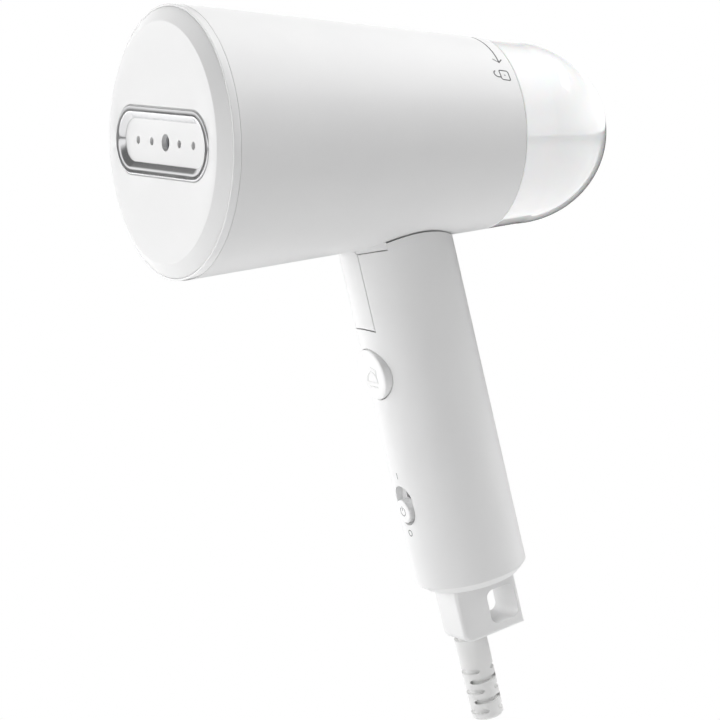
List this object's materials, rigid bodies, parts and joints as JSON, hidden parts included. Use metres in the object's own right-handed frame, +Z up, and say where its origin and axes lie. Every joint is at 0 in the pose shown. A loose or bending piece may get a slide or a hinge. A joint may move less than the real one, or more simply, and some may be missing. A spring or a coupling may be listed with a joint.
{
  "type": "handheld garment steamer",
  "caption": "Handheld garment steamer: tapered barrel with a flat steam face, domed twist-off water tank and a round handle that folds forward.",
  "frame": {"origin": "on the barrel's axis, in the plane where the front ring meets the barrel shell", "axes": "+X along the barrel from the steam face to the tank, +Z up, away from the handle, Y across"},
  "size_m": [0.1645, 0.089, 0.2451],
  "materials": {
    "shell_white": "fine satin texture",
    "face_white": "heat-resistant satin coating",
    "ring_white": "gloss",
    "bezel_metal": "satin chrome",
    "tank_plastic": "milky gloss",
    "control_white": "soft gloss",
    "guard_rubber": "soft moulded",
    "cast_aluminium": "as cast",
    "steel": "plated",
    "brass": "turned",
    "seal_rubber": "silicone",
    "hose_rubber": "clear silicone",
    "wrap": "glass fibre wool",
    "inner_plastic": "moulded",
    "pump_plastic": "moulded",
    "board": "solder mask",
    "heat_part": "glazed ceramic",
    "print_grey": "printed marks"
  },
  "bodies": {
    "barrel": {"barrel_shell": "shell_white", "front_ring": "ring_white", "face_plate": "face_white", "steam_bezel": "bezel_metal", "steam_plate": "face_white", "heating_element": "steel", "boiler": "cast_aluminium", "boiler_lid": "cast_aluminium", "boiler_gasket": "seal_rubber", "boiler_screws": "steel", "insulation_wrap": "wrap", "heat_shield": "steel", "thermostat": "heat_part", "thermal_fuse": "heat_part", "pump": "pump_plastic", "pump_bracket": "inner_plastic", "bracket_screws": "steel", "outlet_hose": "hose_rubber", "inlet_hose": "hose_rubber", "bulkhead": "inner_plastic", "bulkhead_screws": "steel"},
    "seal": {"tank_seal": "seal_rubber"},
    "tank": {"tank_shell": "tank_plastic", "tank_cover": "tank_plastic", "valve_spring": "steel"},
    "valve": {"valve_poppet": "inner_plastic"},
    "plug": {"filler_plug": "seal_rubber"},
    "handle": {"handle_shell": "shell_white", "fold_pin": "steel", "pin_cover": "shell_white", "button_spring": "steel", "button_switch": "inner_plastic", "slide_switch": "inner_plastic", "control_board": "board", "board_screws": "steel", "relay": "inner_plastic", "capacitor": "inner_plastic", "inner_frame": "inner_plastic", "cord_clamp": "inner_plastic", "clamp_screws": "steel", "terminal_block": "brass", "loop_cap": "shell_white", "cap_screws": "steel", "cord_guard": "guard_rubber"},
    "button": {"steam_button": "control_white"},
    "slider": {"power_slider": "control_white"}
  },
  "joints": [
    {"name": "handle_fold", "type": "hinge", "parent": "barrel", "child": "handle", "pos_m": [0.07111, 0, -0.05693], "axis": [0, 1, 0], "range_deg": [0, 98]},
    {"name": "button_press", "type": "slide", "parent": "handle", "child": "button", "axis": [0.9668, 0, 0.2554], "range_m": [0, 0.0016], "stiffness_N_per_m": 600, "springref_m": -0.002, "deforming": ["button_spring"]},
    {"name": "power_slide", "type": "slide", "parent": "handle", "child": "slider", "axis": [-0.2554, 0, 0.9668], "range_m": [0, 0.0036]},
    {"name": "tank_pull", "type": "slide", "parent": "barrel", "child": "seal", "axis": [1, 0, 0], "range_m": [0, 0.04]},
    {"name": "tank_twist", "type": "hinge", "parent": "seal", "child": "tank", "pos_m": [0.105, 0, 0], "axis": [1, 0, 0], "range_deg": [-30, 0]},
    {"name": "valve_lift", "type": "slide", "parent": "tank", "child": "valve", "axis": [1, 0, 0], "range_m": [0, 0.002], "stiffness_N_per_m": 200, "springref_m": -0.002, "deforming": ["valve_spring"]},
    {"name": "plug_pull", "type": "slide", "parent": "tank", "child": "plug", "axis": [-1, 0, 0], "range_m": [0, 0.006]}
  ]
}
